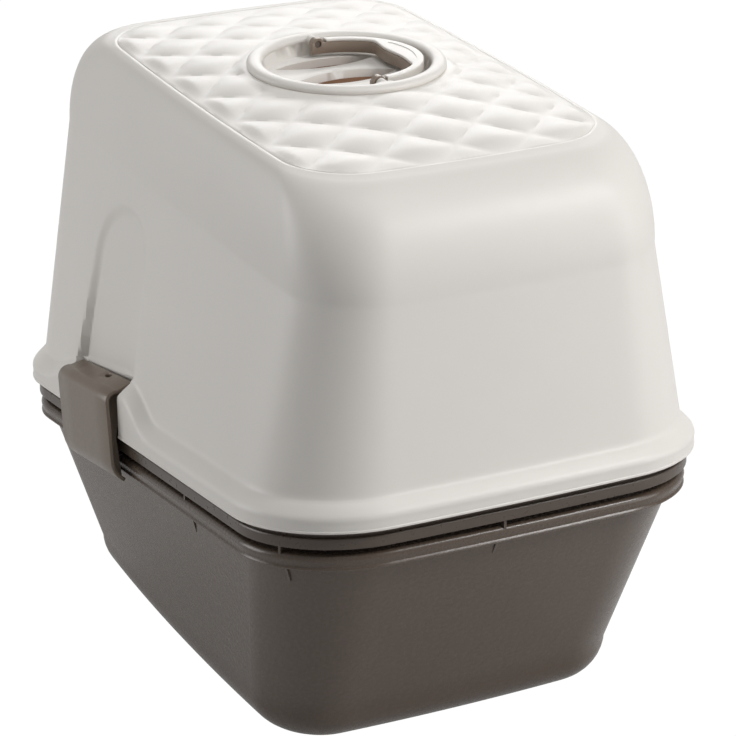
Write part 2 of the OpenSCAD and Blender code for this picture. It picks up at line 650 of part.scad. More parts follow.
module sieve_holes() {
    nx = floor((base_w / 2 - 30) / hole_x);
    ny = floor((base_l / 2 - 40) / hole_y);
    for (i = [-nx:nx]) for (j = [-ny:ny]) translate([i * hole_x - hole_w / 2, j * hole_y - hole_l / 2, sieve_z - 1]) cube([hole_w, hole_l, tray_t + 2]);
}

outer_tray();
sieve_tray();
hood_shell();
handle_well();
carry_handle();
handle_cap();
handle_pins();
vent_filter();
filter_cover();
side_clip_right();
side_clip_left();
clip_pin_right();
clip_pin_left();
entrance_flap();
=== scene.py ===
import bpy, bmesh, math
import numpy as np
from mathutils import Vector, Matrix
from mathutils.geometry import delaunay_2d_cdt


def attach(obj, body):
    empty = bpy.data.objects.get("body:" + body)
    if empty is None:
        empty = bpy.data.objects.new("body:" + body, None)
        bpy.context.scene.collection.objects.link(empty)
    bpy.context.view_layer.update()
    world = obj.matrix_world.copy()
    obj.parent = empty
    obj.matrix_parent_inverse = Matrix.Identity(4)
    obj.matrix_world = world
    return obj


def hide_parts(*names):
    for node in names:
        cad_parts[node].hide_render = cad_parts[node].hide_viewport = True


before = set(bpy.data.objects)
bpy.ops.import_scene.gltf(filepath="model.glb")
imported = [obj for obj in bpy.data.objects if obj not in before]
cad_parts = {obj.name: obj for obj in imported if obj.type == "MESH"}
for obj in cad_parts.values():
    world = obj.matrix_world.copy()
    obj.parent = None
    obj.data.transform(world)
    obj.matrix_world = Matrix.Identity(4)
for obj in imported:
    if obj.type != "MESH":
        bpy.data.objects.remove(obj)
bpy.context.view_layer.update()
sc = bpy.context.scene
mm = 0.001

# camera, fitted to the outlines of the object in the photograph
shot = dict(azimuth=153.6556, elevation=22.8674, roll=0.2401, distance=2.38193,
            target=(-0.012119, 0.004520, 0.210076), focalPx=3098.292, centre=(362.80, 366.05), size=736)


def buildCamera(s):
    a, e, r = (math.radians(s[k]) for k in ("azimuth", "elevation", "roll"))
    away = Vector((math.sin(a) * math.cos(e), -math.cos(a) * math.cos(e), math.sin(e)))
    right = Vector((math.cos(a), math.sin(a), 0))
    up = away.cross(right)
    right, up = right * math.cos(r) + up * math.sin(r), up * math.cos(r) - right * math.sin(r)
    cam = bpy.data.cameras.new("photoCamera")
    cam.sensor_width = 36
    cam.lens = s["focalPx"] / s["size"] * cam.sensor_width
    cam.shift_x = (s["size"] / 2 - s["centre"][0]) / s["size"]
    cam.shift_y = (s["centre"][1] - s["size"] / 2) / s["size"]
    o = bpy.data.objects.new("photoCamera", cam)
    turn = Matrix((right, up, away)).transposed().to_4x4()
    o.matrix_world = Matrix.Translation(Vector(s["target"]) + away * s["distance"]) @ turn
    sc.collection.objects.link(o)
    sc.camera = o


buildCamera(shot)
print("camera set")


def newTree(kind, name, inputs, outputs):
    # a node tree with named inputs, each with its kind of socket and its value, and named outputs
    tree = bpy.data.node_groups.new(name, kind + "NodeTree")
    for label, socket, value in inputs:
        s = tree.interface.new_socket(label, in_out="INPUT", socket_type="NodeSocket" + socket)
        if value is not None:
            s.default_value = value
    for label, socket in outputs:
        tree.interface.new_socket(label, in_out="OUTPUT", socket_type="NodeSocket" + socket)
    return tree, tree.nodes.new("NodeGroupInput"), tree.nodes.new("NodeGroupOutput")


def wire(tree, kind, inputs=None, **settings):
    # adds a node: its settings, then its inputs by name or index, each a value or a socket
    n = tree.nodes.new(kind)
    for k, v in settings.items():
        setattr(n, k, v)
    for k, v in (inputs or {}).items():
        if isinstance(v, bpy.types.NodeSocket):
            tree.links.new(v, n.inputs[k])
        else:
            n.inputs[k].default_value = v
    return n


def mathNode(tree, op, a, b=0.0, clamp=False):
    return wire(tree, "ShaderNodeMath", {0: a, 1: b}, operation=op, use_clamp=clamp).outputs[0]


def noiseNode(tree, scale, detail=2.0, rough=0.5):
    at = wire(tree, "ShaderNodeTexCoord").outputs["Object"]
    n = wire(tree, "ShaderNodeTexNoise", {"Vector": at, "Scale": scale, "Detail": detail, "Roughness": rough})
    return n.outputs["Fac"]


# noise scales of the moulded plastic, how far its roughness drifts, and its grain's height in metres
skin = dict(broad=9.0, fine=260.0, grain=1800.0, roughDrift=0.16, grainH=0.0004)


def buildMouldedSkin():
    # moulded plastic: broad colour drift, satin roughness drift, and a fine grain for the bump
    g, gi, go = newTree("Shader", "mouldedSkin", [
        ("Color", "Color", (0.8, 0.8, 0.8, 1)), ("Drift", "Float", 0.04), ("Roughness", "Float", 0.45),
        ("Grain Scale", "Float", skin["grain"]), ("Grain Depth", "Float", 0.05)],
        [("Color", "Color"), ("Roughness", "Float"), ("Normal", "Vector")])
    v = gi.outputs
    spread = wire(g, "ShaderNodeMapRange", {
        "Value": noiseNode(g, skin["broad"], 3.0), "From Min": 0.3, "From Max": 0.7,
        "To Min": mathNode(g, "SUBTRACT", 1.0, v["Drift"]), "To Max": mathNode(g, "ADD", 1.0, v["Drift"])})
    tint = wire(g, "ShaderNodeVectorMath", {0: v["Color"], "Scale": spread.outputs["Result"]}, operation="SCALE")
    fine = mathNode(g, "SUBTRACT", noiseNode(g, skin["fine"]), 0.5)
    rough = mathNode(g, "ADD", v["Roughness"], mathNode(g, "MULTIPLY", fine, skin["roughDrift"]), True)
    bump = wire(g, "ShaderNodeBump", {"Strength": v["Grain Depth"], "Distance": skin["grainH"],
                                      "Height": noiseNode(g, v["Grain Scale"], 2.0, 0.6)})
    for label, source in (("Color", tint.outputs[0]), ("Roughness", rough), ("Normal", bump.outputs["Normal"])):
        g.links.new(source, go.inputs[label])
    return g


mouldedSkin = buildMouldedSkin()


def plastic(name, color, rough, drift=0.03, grain=0.05, grainScale=skin["grain"]):
    m = bpy.data.materials.new(name)
    m.use_nodes = True
    t = m.node_tree
    g = wire(t, "ShaderNodeGroup", {"Color": (*color, 1), "Drift": drift, "Roughness": rough,
                                    "Grain Scale": grainScale, "Grain Depth": grain}, node_tree=mouldedSkin)
    p = t.nodes["Principled BSDF"]
    for source, target in (("Color", "Base Color"), ("Roughness", "Roughness"), ("Normal", "Normal")):
        t.links.new(g.outputs[source], p.inputs[target])
    p.inputs["IOR"].default_value = 1.49
    return m


# grip is the clip's taupe painted lighter: painted light for the handle's inner faces, which the handle's fold shades
finish = dict(ivory=(0.80, 0.768, 0.725), taupe=(0.200, 0.156, 0.120), grip=(0.30, 0.235, 0.185),
              tray=(0.102, 0.074, 0.055), sieve=(0.086, 0.064, 0.049), rod=(0.15, 0.12, 0.10),
              filter=(0.20, 0.095, 0.045), flap=(0.26, 0.22, 0.19))
ivoryPlastic = plastic("ivoryPlastic", finish["ivory"], 0.42, 0.012)
taupePlastic = plastic("taupePlastic", finish["taupe"], 0.32)
# the handle's body wears the taupe painted lighter, as painted light on its shaded inner faces
gripTaupePaintedLighter = plastic("gripTaupePaintedLighter", finish["grip"], 0.34)
trayPlastic = plastic("trayPlastic", finish["tray"], 0.27)
sievePlastic = plastic("sievePlastic", finish["sieve"], 0.30)
rodPlastic = plastic("rodPlastic", finish["rod"], 0.35)
filterFoam = plastic("filterFoam", finish["filter"], 0.9, 0.25, 0.6, 700.0)
flapPlastic = plastic("flapPlastic", finish["flap"], 0.25, 0.02)
print("materials")


def geoTree(name, values):
    # a geometry tree with a named input for each value, None for an object
    kinds = {int: "Int", float: "Float", type(None): "Object"}
    inputs = [(label, kinds[type(value)], value) for label, value in values.items()]
    inputs = [("Geometry", "Geometry", None)] + inputs + [("Material", "Material", None)]
    return newTree("Geometry", name, inputs, [("Geometry", "Geometry")])


def closeTree(tree, geometry, gi, go):
    real = wire(tree, "GeometryNodeRealizeInstances", {"Geometry": geometry})
    paint = wire(tree, "GeometryNodeSetMaterial", {"Geometry": real.outputs[0], "Material": gi.outputs["Material"]})
    tree.links.new(paint.outputs[0], go.inputs["Geometry"])


def applied(o):
    # the object with what its modifiers make of it as its plain mesh
    mesh = bpy.data.meshes.new_from_object(o.evaluated_get(bpy.context.evaluated_depsgraph_get()))
    o.modifiers.clear()
    o.data = mesh
    return o


def runTree(o, tree, material, **values):
    m = o.modifiers.new(tree.name, "NODES")
    m.node_group = tree
    values["Material"] = material
    for item in tree.interface.items_tree:
        if item.in_out == "INPUT" and item.name in values:
            m[item.identifier] = values[item.name]
    return applied(o)


# the main measures, in mm: the line between hood and trays falls by 7 degrees towards the doorway
edgeLine = dict(height=179, rake=math.tan(math.radians(7)))
clip = dict(y=-74, width=104, gap=6.5, rake=9.5, axisX=170.5, axisUp=31, height=72, out=18.5, roof=5, skin=3, curl=58,
            nearEnd=49.6, back=-4.2, brow=9, toe=20, toeUp=17, lift=(1.8, 4.6), webIn=10.5, webT=2.5, eyeR=4.6, eyeW=7)
gate = dict(x=-0.4, y=11, halfX=2.4, halfY=4.8, steps=16)
hood = dict(rimX=181, rimY=277.5, rimR=84, faceH=12.5, bandW=11, bandH=10, rise=23, riseRun=46, frontRise=0.5,
            wall=2.5, face=4.5, roofZ=440, roofX=126, roofY=199.5, roofR=50, shoulderSide=18, shoulderEnd=54,
            shoulderR=5, shoulderH=74, pocketX=168.5, pocketTopX=163.5, pocketStep=9)
recess = dict(width=50.3, taper=0.09, spring=290, arch=51, lean=0.2, softFront=10, softRear=5.5,
              deep=7.3, shallow=2.3, foot=212, fadeH=120)
roof = dict(dome=14, pitch=58, padH=2.9, softness=0.8, ringOut=75.5, ringLap=1, ringRun=7, level=0.86, hole=66.8,
            bead=0.8, edge=3.2, squeeze=0.985, cornerFade=10, endFade=22, faint=0.12)
half = clip["width"] / 2 + clip["gap"]
# how far the long sides and the ends curve in towards the corners, as a share of the half measures
bow = dict(roofX=0.04, roofY=0.03, wall=0.02, trayX=0.05, trayY=0.025)


def edgeZ(y):
    return edgeLine["height"] + edgeLine["rake"] * y


def mix(a, b, t):
    return a + (b - a) * t


def ease(t):
    t = np.clip(t, 0, 1)
    return t * t * (3 - 2 * t)


# one outline for every ring: stations crowd over the recess and at the ends of the clip's pocket
notchHalf = 26
longSide, stationEnd = 190, 193.0
cornerSteps, endSteps = 18, 36
crowdEnd = 68
crowd = (0, 3.4, 6.8, 10.2, 13.6, 17, 20.4, 23.4, notchHalf - 0.05, notchHalf + 0.05, 29, 32, 35, 38, 41, 43.5, 45.5,
         47.5, 49.5, 51.5, 53.5, 55.5, half - 0.05, half + 0.05, 61, 64, crowdEnd)
sideSteps = sorted(set([-stationEnd, -180, -167, -154, -148] + [clip["y"] + s * d for s in (-1, 1) for d in crowd]
                       + [float(v) for v in range(4, longSide, 11)] + [stationEnd]))


def outline(a, b, r, bowA=0.0, bowB=0.0):
    def arc(cx, cy, start):
        t = np.radians(start + 90 * np.arange(cornerSteps + 1) / cornerSteps)
        return np.stack([cx + r * np.cos(t), cy + r * np.sin(t)], 1)
    ax, by = a - r, b - r
    ys = np.array(sideSteps)
    ys = ys * (by - 0.4) / stationEnd if by < longSide else np.clip(ys, -by + 0.4, by - 0.4)
    across = np.linspace(ax, -ax, endSteps + 2)[1:-1]
    side, end = np.full(len(ys), a), np.full(endSteps, b)
    pts = np.concatenate([
        np.stack([side, ys], 1), arc(ax, by, 0), np.stack([across, end], 1), arc(-ax, by, 90),
        np.stack([-side, ys[::-1]], 1), arc(-ax, -by, 180), np.stack([-across, -end], 1), arc(ax, -by, 270)])
    x, y = pts[:, 0], pts[:, 1]
    return np.stack([x * (1 - bowA * (y / b) ** 2), y * (1 - bowB * (x / a) ** 2)], 1)


nSide, nRing = len(sideSteps), len(outline(100, 200, 20))
onSide = np.zeros(nRing, bool)      # the points of the two long sides
onSide[:nSide] = True
onSide[nRing // 2:nRing // 2 + nSide] = True


def withZ(xy, z):
    return np.column_stack([xy, np.broadcast_to(z, len(xy))])


def meshFrom(name, verts, faces):
    m = bpy.data.meshes.new(name)
    m.from_pydata([tuple(v) for v in np.asarray(verts) * mm], [], faces)
    m.validate()
    return placed(name, m)


def placed(name, mesh):
    o = bpy.data.objects.new(name, mesh)
    sc.collection.objects.link(o)
    return o


def loftFaces(rows, n, wrap=False):
    out = []
    for j in range(rows if wrap else rows - 1):
        k = (j + 1) % rows
        for i in range(n):
            i2 = (i + 1) % n
            out.append((j * n + i, k * n + i, k * n + i2, j * n + i2))
    return out


def closedFaces(rows, n):
    # a loft with both of its ends capped
    return [tuple(range(n)), tuple(range(rows * n - 1, (rows - 1) * n - 1, -1))] + loftFaces(rows, n)


def shade(mesh, angle):
    # smooth, but sharp where the surface turns by more than the angle
    for p in mesh.polygons:
        p.use_smooth = True
    mesh.set_sharp_from_angle(angle=math.radians(angle))


def clean(o, dist=0.00002, angle=35):
    b = bmesh.new()
    b.from_mesh(o.data)
    bmesh.ops.remove_doubles(b, verts=b.verts, dist=dist)
    bmesh.ops.dissolve_degenerate(b, dist=dist * 0.5, edges=b.edges)
    bmesh.ops.recalc_face_normals(b, faces=b.faces)
    b.to_mesh(o.data)
    b.free()
    shade(o.data, angle)
    return o


def join(name, objs):
    bpy.ops.object.select_all(action="DESELECT")
    for o in objs:
        o.select_set(True)
    bpy.context.view_layer.objects.active = objs[0]
    bpy.ops.object.join()
    objs[0].name = objs[0].data.name = name
    return objs[0]


def cut(o, tool, mode="DIFFERENCE"):
    m = o.modifiers.new("cut", "BOOLEAN")
    m.operation, m.solver, m.object = mode, "EXACT", tool
    applied(o)
    bpy.data.objects.remove(tool)
    return o


def rimRise(y):
    # the band climbs to the clip's roof, higher at the rear end of the clip than at its front end
    level = mix(hood["frontRise"], 1, np.clip((y - clip["y"]) / clip["width"] + 0.5, 0, 1))
    return level * ease(1 - (np.abs(y - clip["y"]) - half - 1.5) / hood["riseRun"])


def resized(xy, front, rear):
    # moves the ends of the pocket, from the width that the stations have to the width at this height
    d = xy[:, 1] - clip["y"]
    e = np.interp(d, [-crowdEnd, -half - 0.05, -half + 0.05, half - 0.05, half + 0.05, crowdEnd],
                  [-crowdEnd, -front - 0.05, -front + 0.05, rear - 0.05, rear + 0.05, crowdEnd])
    return np.column_stack([xy[:, 0], np.where(onSide & (np.abs(d) < crowdEnd), clip["y"] + e, xy[:, 1])])


def limited(xy, hit, limit):
    # the points that are hit come in to a limit across
    return np.where(hit, np.sign(xy[:, 0]) * np.minimum(np.abs(xy[:, 0]), limit), xy[:, 0])


def pull(xy, hit, limit, z, dz):
    # pulls the long sides in over the clip's pocket, with a height of its own there
    z = np.where(hit & (dz is not None), edgeZ(xy[:, 1]) + (dz or 0), z)
    return np.column_stack([limited(xy, hit, limit), xy[:, 1], z])


def recessDepth(y, z):
    # arched recess over the clip: soft front flank, crisper rear edge, shallower towards the arch
    r, d = recess, y - clip["y"]
    up = z - r["lean"] * d
    arched = r["width"] * np.sqrt(np.clip(1 - ((up - r["spring"]) / r["arch"]) ** 2, 0, 1))
    wide = np.where(up < r["spring"], r["width"] + r["taper"] * (r["spring"] - up), arched)
    over = r["spring"] + r["arch"] * np.sqrt(np.clip(1 - (d / r["width"]) ** 2, 0, 1)) - up
    inside = np.where(up < r["spring"], wide - np.abs(d), np.minimum(wide - np.abs(d), over))
    soft = mix(r["softFront"] * np.clip((up - 195) / 90, 0.3, 1), r["softRear"], ease((d + 25) / 50))
    return mix(r["deep"], r["shallow"], np.clip((up - r["foot"]) / r["fadeH"], 0, 1)) * ease(inside / soft)


def hoodWall(t, off):
    # t runs from the top of the band, 0, to the foot of the shoulder, 1
    h = hood
    footX, footY, footR = (h[k] - h["bandW"] for k in ("rimX", "rimY", "rimR"))
    lo = outline(footX - off, footY - off, footR - off, 0, bow["wall"])
    hi = outline(h["roofX"] + h["shoulderSide"] - off, h["roofY"] + h["shoulderEnd"] - off,
                 h["roofR"] + h["shoulderR"] - off, bow["wall"], bow["wall"])
    z0 = edgeZ(lo[:, 1]) + h["faceH"] + h["bandH"] + h["rise"] * rimRise(lo[:, 1])
    z1 = h["roofZ"] - h["shoulderH"]
    xy, z = mix(lo, hi, t), mix(z0, z1, t)
    d = np.where(onSide, recessDepth(xy[:, 1], z), 0)
    return np.column_stack([xy[:, 0] - np.sign(xy[:, 0]) * d, xy[:, 1], z])


def hoodShoulder(angle, off):
    h, s, c = hood, math.sin(math.radians(angle)), math.cos(math.radians(angle))
    xy = outline(h["roofX"] + (h["shoulderSide"] - off) * s, h["roofY"] + (h["shoulderEnd"] - off) * s,
                 h["roofR"] + (h["shoulderR"] - off) * s, mix(bow["roofX"], bow["wall"], s),
                 mix(bow["roofY"], bow["wall"], s))
    return withZ(xy, h["roofZ"] - h["shoulderH"] * (1 - c) - off * c)


def hoodRim(inset, up, risen, pocket, ends, off=0.0):
    # a ring of the rim: inset, height, share of the climb, the pocket's limit and height, the pocket's ends
    h = hood
    xy = outline(h["rimX"] - inset, h["rimY"] - inset, h["rimR"] - inset, 0, bow["wall"])
    hit = onSide & (np.abs(xy[:, 1] - clip["y"]) < half + off)
    xy = resized(xy, *ends)
    z = edgeZ(xy[:, 1]) + up + risen * h["rise"] * rimRise(xy[:, 1])
    return pull(xy, hit, pocket[0], z, pocket[1])


def hoodRings():
    h = hood
    w, b, f, face, g = h["bandW"], h["bandH"], h["faceH"], h["face"], h["wall"]
    foot, top, step = h["pocketX"], h["pocketTopX"], h["pocketStep"]
    swing = top - 4.2     # the wall steps in behind the clip, clear of its hinge
    wide, low = (54.5, 55.2), (53.3, 52.2)
    rings = [hoodShoulder(a, 0) for a in np.linspace(8, 88, 21)]
    rings += [hoodWall(t, 0) for t in 1 - np.linspace(0, 1, 58)[:-1]]
    # foot fillet, sloped band, rounded brow, upright face with a fine ledge at its lower edge
    outer = [(w - 0.2, f + b + 0.3, 1, (top, None), wide), (w - 1.1, f + b - 1.4, 1, (top, None), wide),
             (w - 3, f + b - 2.9, 1, (top - 0.6, None), wide),
             (w * 0.5, f + b * 0.5 - 0.3, 1, (top - 2.4, None), (54.2, 54.5)),
             (2.6, f + 1.6, 1, (swing, None), (53.8, 53.4)), (1.4, f + 0.2, 1, (swing, None), (53.5, 52.8)),
             (0.5, f - 1.4, 1, (swing, None), low), (0.1, f - 3.4, 0.97, (swing, None), low),
             (0.4, f * 0.62, 0.1, (swing, step + 9), low), (0.5, f * 0.45, 0, (foot, step), low),
             (0.5, 2.1, 0, (foot, 2), low), (0.05, 1.5, 0, (foot, 1.2), low), (0, 0.6, 0, (foot, 0.6), low),
             (0.15, 0.12, 0, (foot - 0.15, 0.12), low), (0.5, 0, 0, (foot - 0.5, 0), low)]
    inner = [(face, 0, 0, (foot - 2, 0), low), (face, f * 0.35, 0, (foot - 2, step - 1), low),
             (face, f * 0.6, 0.1, (swing - g, step + 8), low), (face, f - 2, 1, (swing - g, None), low),
             (w + g, f + b - 1, 1, (top - g, None), wide)]
    rings += [hoodRim(*ring) for ring in outer] + [hoodRim(*ring, off=g) for ring in inner]
    rings += [hoodWall(t, g) for t in (0.08, 0.16, 0.25, 0.4, 0.55, 0.7, 0.85, 1)]
    rings += [hoodShoulder(a, g) for a in (75, 60, 45, 30, 15, 4)]
    return rings


def pointIn(q, ring, margin):
    # the outline is convex, so a point is inside when it is on the inner side of every edge
    d = np.roll(ring, -1, 0) - ring
    side = d[:, 0] * (q[1] - ring[:, 1]) - d[:, 1] * (q[0] - ring[:, 0])
    length = np.hypot(d[:, 0], d[:, 1])
    ok = length > 1e-6
    return bool(np.all(side[ok] > margin * length[ok]))


def roofPattern(outer, inner, step):
    # the flat pattern of the roof panel, its edges laid along the quilt's valleys
    n, m = len(outer), len(inner)
    pts = [tuple(q) for q in outer] + [tuple(q) for q in inner]
    edges = [(i, (i + 1) % n) for i in range(n)] + [(n + i, n + (i + 1) % m) for i in range(m)]
    reach = int(340 / step)     # past the corners, where x + y is largest
    for i in range(-reach, reach + 1):
        for j in range(-reach, reach + 1):
            u, v = i * step, j * step
            q = ((u + v) / 2, (u - v) / 2)
            if math.hypot(*q) >= roof["hole"] + 1.2 and pointIn(q, outer, 1.0):
                pts.append(q)
    out = delaunay_2d_cdt([Vector(q) for q in pts], edges, [], 0, 0.0001)
    verts = np.array([tuple(v) for v in out[0]])
    centres = [(tuple(f), verts[list(f)].mean(0)) for f in out[2]]
    return verts, [f for f, c in centres if math.hypot(*c) > roof["hole"] - 0.3 and pointIn(c, outer, -0.2)]


def domeHeight(x, y):
    k = np.clip(1 - (x / hood["roofX"]) ** 2, 0, 1)
    return roof["dome"] * k * np.clip(1 - (y / hood["roofY"]) ** 2, 0, 1)


def edgeFade(x, y):
    # the quilt goes faint at the bead, by the distance to it, measured round the corners
    f, r = roof, hood["roofR"]
    over = lambda w, reach: np.maximum(0, np.abs(w) - reach * f["squeeze"] + r)
    corner = (r - f["edge"] - np.hypot(over(x, hood["roofX"]), over(y, hood["roofY"]))) / f["cornerFade"]
    return mix(f["faint"], 1, ease(np.minimum(corner, (hood["roofY"] - f["edge"] - np.abs(y)) / f["endFade"])))


def roofHeight(x, y):
    # the rule that the quiltPress tree follows, for the ring of points where the panel meets the bead
    f, turn = roof, np.pi / roof["pitch"]
    pad = f["padH"] * np.abs(np.sin((x + y) * turn) * np.sin((x - y) * turn)) ** f["softness"]
    k = ease((np.hypot(x, y) - f["ringOut"] + f["ringLap"]) / f["ringRun"])
    return hood["roofZ"] + mix(f["dome"] * f["level"], domeHeight(x, y) + pad * edgeFade(x, y), k)


quilt = {"Pitch": roof["pitch"] * mm, "Pad Height": roof["padH"] * mm, "Softness": roof["softness"],
         "Dome": roof["dome"] * mm, "Half Width": hood["roofX"] * mm, "Half Length": hood["roofY"] * mm,
         "Ring Radius": roof["ringOut"] * mm, "Ring Level": roof["dome"] * roof["level"] * mm,
         "Height": hood["roofZ"] * mm, "Corner": hood["roofR"] * mm, "Edge": roof["edge"] * mm}


def buildQuiltPress():
    # presses the diagonal quilt into the flat roof panel: domed, level round the well, softer at the bead
    tree, gi, go = geoTree("quiltPress", quilt)
    v = gi.outputs
    do = lambda op, a, b=0.0: mathNode(tree, op, a, b)
    length = lambda a, b: do("SQRT", do("ADD", do("MULTIPLY", a, a), do("MULTIPLY", b, b)))
    step = lambda t, low: wire(tree, "ShaderNodeMapRange", {"Value": t, "To Min": low},
                               interpolation_type="SMOOTHSTEP").outputs[0]
    at = wire(tree, "ShaderNodeSeparateXYZ", {0: wire(tree, "GeometryNodeInputPosition").outputs[0]})
    x, y = at.outputs[0], at.outputs[1]
    wave = lambda w: do("SINE", do("DIVIDE", do("MULTIPLY", w, math.pi), v["Pitch"]))
    waves = do("MULTIPLY", wave(do("ADD", x, y)), wave(do("SUBTRACT", x, y)))
    pad = do("MULTIPLY", do("POWER", do("ABSOLUTE", waves), v["Softness"]), v["Pad Height"])
    share = lambda w, reach: do("POWER", do("DIVIDE", do("ABSOLUTE", w), reach), 2.0)
    fall = lambda w, reach: do("MAXIMUM", do("SUBTRACT", 1.0, share(w, reach)), 0.0)
    domed = do("MULTIPLY", v["Dome"], do("MULTIPLY", fall(x, v["Half Width"]), fall(y, v["Half Length"])))
    squeezed = lambda reach: do("MULTIPLY", reach, roof["squeeze"])
    over = lambda w, reach: do("MAXIMUM", do("ADD", do("SUBTRACT", do("ABSOLUTE", w), squeezed(reach)), v["Corner"]))
    inner = lambda reach: do("SUBTRACT", reach, v["Edge"])
    corner = do("SUBTRACT", inner(v["Corner"]), length(over(x, v["Half Width"]), over(y, v["Half Length"])))
    end = do("SUBTRACT", inner(v["Half Length"]), do("ABSOLUTE", y))
    near = do("MINIMUM", do("DIVIDE", corner, roof["cornerFade"] * mm), do("DIVIDE", end, roof["endFade"] * mm))
    past = do("ADD", do("SUBTRACT", length(x, y), v["Ring Radius"]), roof["ringLap"] * mm)
    k = step(do("DIVIDE", past, roof["ringRun"] * mm), 0.0)
    quilted = do("MULTIPLY", do("ADD", domed, do("MULTIPLY", pad, step(near, roof["faint"]))), k)
    levelled = do("MULTIPLY", v["Ring Level"], do("SUBTRACT", 1.0, k))
    target = wire(tree, "ShaderNodeCombineXYZ", {0: x, 1: y, 2: do("ADD", v["Height"], do("ADD", quilted, levelled))})
    moved = wire(tree, "GeometryNodeSetPosition", {"Geometry": v["Geometry"], "Position": target.outputs[0]})
    closeTree(tree, moved.outputs[0], gi, go)
    return tree


def panelRing(inset, rise):
    # a ring along the roof panel's outline, its height given over the shoulder
    h = hood
    xy = outline(h["roofX"] - inset, h["roofY"] - inset, h["roofR"] - inset, bow["roofX"], bow["roofY"])
    return withZ(xy, h["roofZ"] + roof["bead"] * rise)


def circle(r, steps, x=0.0, y=0.0):
    return [(x + r * math.cos(t), y + r * math.sin(t)) for t in np.linspace(0, 2 * math.pi, steps + 1)[:-1]]


def buildHood():
    h, level = hood, roof["dome"] * roof["level"]
    inner = panelRing(roof["edge"], 0)[:, :2]
    flat, tris = roofPattern(inner, np.array(circle(roof["hole"], 180)), roof["pitch"] / 14)
    panel = runTree(meshFrom("roofPanel", withZ(flat, 0), tris), buildQuiltPress(), ivoryPlastic, **quilt)
    bead = [(2.6, 0.55), (2.0, 0.95), (1.2, 1.05), (0.4, 0.95), (-0.5, 0.55)]
    rings = [withZ(inner, roofHeight(inner[:, 0], inner[:, 1]))] + [panelRing(*b) for b in bead] + hoodRings()
    # the roof's underside runs from the shoulder to the hole
    last = rings[-1][:, :2]
    rim = last * (roof["hole"] / np.hypot(last[:, 0], last[:, 1]))[:, None]
    for t in (0.15, 0.35, 0.6, 0.8, 1):
        q = mix(last, rim, t)
        domed = np.minimum(level, domeHeight(q[:, 0], q[:, 1])) * (0.97 if t < 1 else 1)
        rings.append(withZ(q, h["roofZ"] - h["wall"] + domed))
    rings.append(withZ(rim, h["roofZ"] + level))
    shell = meshFrom("hoodShell", np.concatenate(rings), loftFaces(len(rings), nRing))
    return clean(join("hoodShell", [shell, panel]), 0.00015, 28)


hoodShell = buildHood()
print("hood", len(hoodShell.data.polygons))

door = dict(width=196, height=170, sill=46, r=64, depth=24, wall=2.5, cutFrom=-30, cutTo=18)
footY = hood["rimY"] - hood["bandW"]
footZ = edgeZ(-footY) + hood["faceH"] + hood["bandH"]
lean = math.atan((footY - hood["roofY"] - hood["shoulderEnd"]) / (hood["roofZ"] - hood["shoulderH"] - footZ))
sillZ = edgeZ(-footY) + door["sill"]
sillY = -footY + (sillZ - footZ) * math.tan(lean)


def doorOutline(grow, seg=20):
    w, h, r = door["width"] / 2 + grow, door["height"] + grow, door["r"] + grow
    turns = ((w - r, 0, math.pi / 2), (-w + r, math.pi / 2, math.pi))
    arcs = [(x + r * math.cos(t), h - r + r * math.sin(t)) for x, a, b in turns for t in np.linspace(a, b, seg)]
    return [(-w, -grow), (w, -grow)] + arcs


def inWall(x, u, depth):
    # a point of the leaning front wall: across, up along the wall, and inwards
    return (x, sillY + u * math.sin(lean) + depth * math.cos(lean), sillZ + u * math.cos(lean) - depth * math.sin(lean))


def buildDoor(shell):
    d, w, shape = door["depth"], door["wall"], doorOutline(0)
    v = [inWall(x, u, depth) for depth in (door["cutFrom"], door["cutTo"]) for x, u in shape]
    cut(shell, clean(meshFrom("doorCutter", v, closedFaces(2, len(shape)))))
    # frame: a tube of the door's outline that stands in the opening, with a small outward lip
    profile = [(0, 1.4), (0.5, 0.7), (1.2, 0.4), (3.2, 0.6), (3.8, 1.2), (3.4, 2.0), (w, 2.6), (w, d - 0.6),
               (w - 0.4, d), (0.5, d), (0, d - 0.5)]
    v = [inWall(x, u, depth) for grow, depth in profile for x, u in doorOutline(grow)]
    frameTube = clean(meshFrom("doorFrame", v, loftFaces(len(profile), len(shape), wrap=True)))
    join("hoodShell", [shell, frameTube])
    shade(shell.data, 28)


buildDoor(hoodShell)
print("doorway")

tray = dict(inset=5.7, roll=8.2, rollEnd=2.6, rollH=11.5, rimGap=5, lipInset=5, lipH=8.5, neckH=5, wall=2.8, nest=2.2,
            seat=0.3, flange=2.6, lip=2.5, baseX=150, baseY=198.5, baseR=52, fillet=30, sieveZ=66, sieveFillet=12,
            notch=167.3, notchIn=2.6)
tray.update(x=hood["rimX"] - tray["inset"], y=hood["rimY"] - tray["inset"] - 1, r=hood["rimR"] - tray["inset"])
tray.update(upTop=tray["seat"] + tray["neckH"], wallOff=tray["wall"] + tray["nest"])
tray.update(upUnder=tray["upTop"] + tray["lipH"])
tray.update(lowTop=tray["upUnder"] + tray["rimGap"])
tray.update(lowUnder=tray["lowTop"] + tray["rollH"])


def notched(xy, limit, up):
    # a raked ring, cut back behind the clip
    hit = onSide & (np.abs(xy[:, 1] - clip["y"]) < notchHalf)
    return np.column_stack([limited(xy, hit, limit), xy[:, 1], edgeZ(xy[:, 1]) + up])


def trayLow(off):
    return outline(tray["baseX"] - off, tray["baseY"] - off, tray["baseR"] - off, bow["trayX"], bow["trayY"])


def trayHigh(off):
    k = tray["roll"] + off
    return outline(tray["x"] - k, tray["y"] - tray["rollEnd"] - k, tray["r"] - k, 0, bow["wall"])


